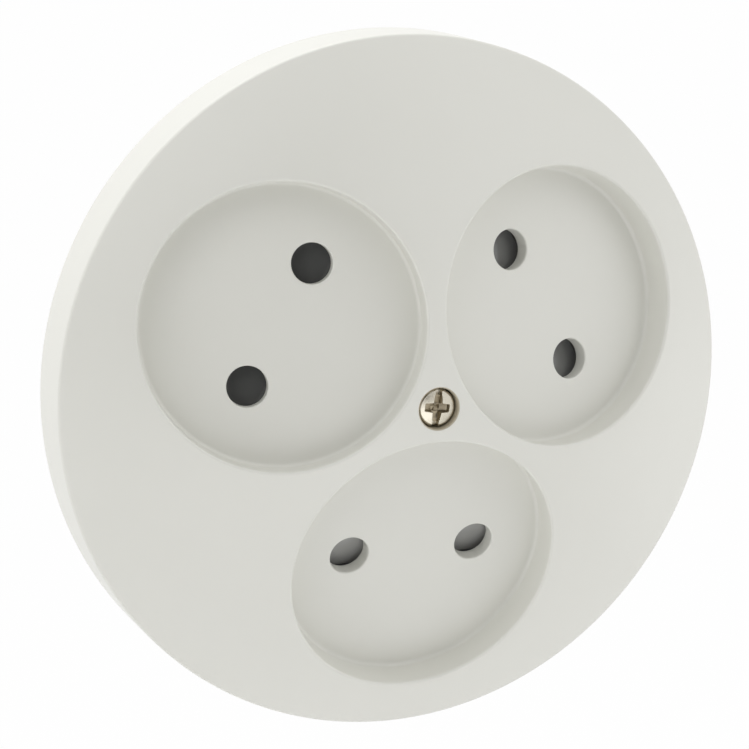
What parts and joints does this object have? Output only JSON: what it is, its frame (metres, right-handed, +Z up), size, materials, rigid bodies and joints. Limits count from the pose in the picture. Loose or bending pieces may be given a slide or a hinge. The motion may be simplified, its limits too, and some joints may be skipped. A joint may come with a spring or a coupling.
{
  "type": "triple wall socket",
  "caption": "Round flush wall socket: a shallow domed cover with round dished outlets and pin holes, held by a central screw over a shuttered insert on a steel plate.",
  "frame": {"origin": "on the wall plane, at the middle of the round cover, where the middle screw's line meets the wall", "axes": "+Z up, -Y straight out of the wall towards the room, +X to the right as seen from the room"},
  "size_m": [0.1, 0.0446, 0.1],
  "materials": {
    "cover_plastic": "satin",
    "insert_plastic": "matte",
    "shutter_plastic": "matte",
    "insulating_plastic": "matte",
    "plate_steel": "zinc plated",
    "contact_brass": "satin",
    "screw_nickel": "nickel plated",
    "spring_steel": "bright"
  },
  "bodies": {
    "socket": {"cover": "cover_plastic", "cover_screw": "screw_nickel", "threaded_insert": "contact_brass", "base": "insert_plastic", "insulating_plate": "insulating_plastic", "back_plate": "insert_plastic", "back_plate_screw_upper": "screw_nickel", "back_plate_screw_lower": "screw_nickel", "mounting_plate": "plate_steel", "mounting_rivet_left": "plate_steel", "mounting_rivet_right": "plate_steel", "live_bar": "contact_brass", "neutral_bar": "contact_brass", "live_contact_left": "contact_brass", "neutral_contact_left": "contact_brass", "live_contact_right": "contact_brass", "neutral_contact_right": "contact_brass", "live_contact_lower": "contact_brass", "neutral_contact_lower": "contact_brass", "live_terminal": "contact_brass", "live_terminal_screw": "screw_nickel", "neutral_terminal": "contact_brass", "neutral_terminal_screw": "screw_nickel", "shutter_spring_left": "spring_steel", "shutter_spring_right": "spring_steel", "shutter_spring_lower": "spring_steel"},
    "left_shutter": {"shutter_left": "shutter_plastic"},
    "right_shutter": {"shutter_right": "shutter_plastic"},
    "lower_shutter": {"shutter_lower": "shutter_plastic"}
  },
  "joints": [
    {"name": "left_shutter_slide", "type": "slide", "parent": "socket", "child": "left_shutter", "axis": [0.8382, -0.2512, -0.484], "range_m": [0, 0.0059], "stiffness_N_per_m": 150, "springref_m": -0.003, "deforming": ["shutter_spring_left"]},
    {"name": "right_shutter_slide", "type": "slide", "parent": "socket", "child": "right_shutter", "axis": [-0.8382, -0.2512, -0.484], "range_m": [0, 0.0059], "stiffness_N_per_m": 150, "springref_m": -0.003, "deforming": ["shutter_spring_right"]},
    {"name": "lower_shutter_slide", "type": "slide", "parent": "socket", "child": "lower_shutter", "axis": [0, -0.2512, 0.9679], "range_m": [0, 0.0059], "stiffness_N_per_m": 150, "springref_m": -0.003, "deforming": ["shutter_spring_lower"]}
  ]
}
